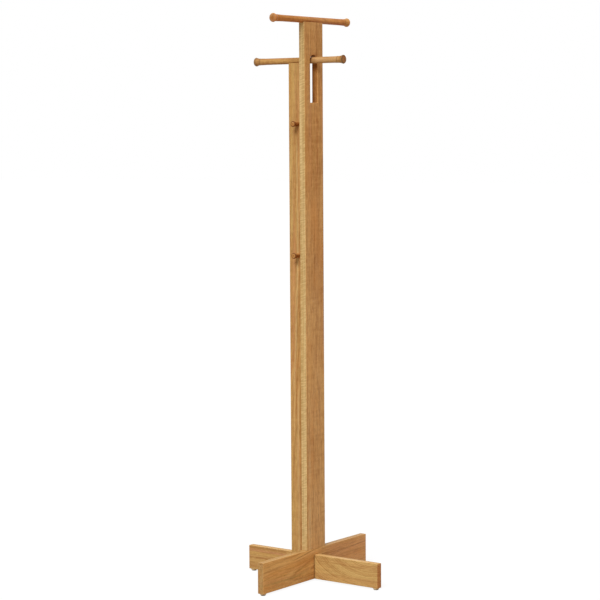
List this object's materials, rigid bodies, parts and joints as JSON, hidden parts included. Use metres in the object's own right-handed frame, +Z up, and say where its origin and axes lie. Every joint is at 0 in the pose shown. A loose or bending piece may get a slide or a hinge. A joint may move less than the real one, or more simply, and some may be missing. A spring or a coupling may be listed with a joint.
{
  "type": "clothes stand",
  "caption": "Free-standing oak clothes stand: two upright planks in a T, each with a turned hanging bar on top, side pegs, and a halved cross base on round glides.",
  "frame": {"origin": "on the floor under the crossing of the base boards, which is the middle of the footprint", "axes": "+Z up; +X along the high base board and the upper bar, to the right as seen facing the tall plank's front; -Y out of the tall plank's front face, where the lower bar comes out of the slot"},
  "size_m": [0.524, 0.48, 1.6925],
  "materials": {
    "oak_brown": "clear satin lacquer over brown oak",
    "oak_mid": "clear satin lacquer over oak",
    "oak_light": "clear satin lacquer over pale golden oak",
    "oak_red": "clear satin lacquer over reddish oak",
    "dowel_wood": "raw ribbed hardwood",
    "cup_cream": "moulded cream plastic",
    "pad_dark": "dark brown pad",
    "steel": "zinc plated"
  },
  "bodies": {
    "root": {"tall_plank": "oak_brown", "short_plank": "oak_mid", "upper_bar": "oak_red", "lower_bar": "oak_mid", "upper_peg": "oak_mid", "lower_peg": "oak_mid", "high_base_board": "oak_brown", "low_base_board": "oak_light", "left_foot": "cup_cream", "right_foot": "cup_cream", "front_foot": "cup_cream", "back_foot": "cup_cream", "left_foot_pad": "pad_dark", "right_foot_pad": "pad_dark", "front_foot_pad": "pad_dark", "back_foot_pad": "pad_dark", "foot_screws": "steel", "upper_bar_dowels": "dowel_wood", "lower_bar_dowels": "dowel_wood", "rib_dowels": "dowel_wood", "base_bolts": "steel", "base_washers": "steel", "base_inserts": "steel", "lap_screw": "steel"}
  },
  "joints": []
}
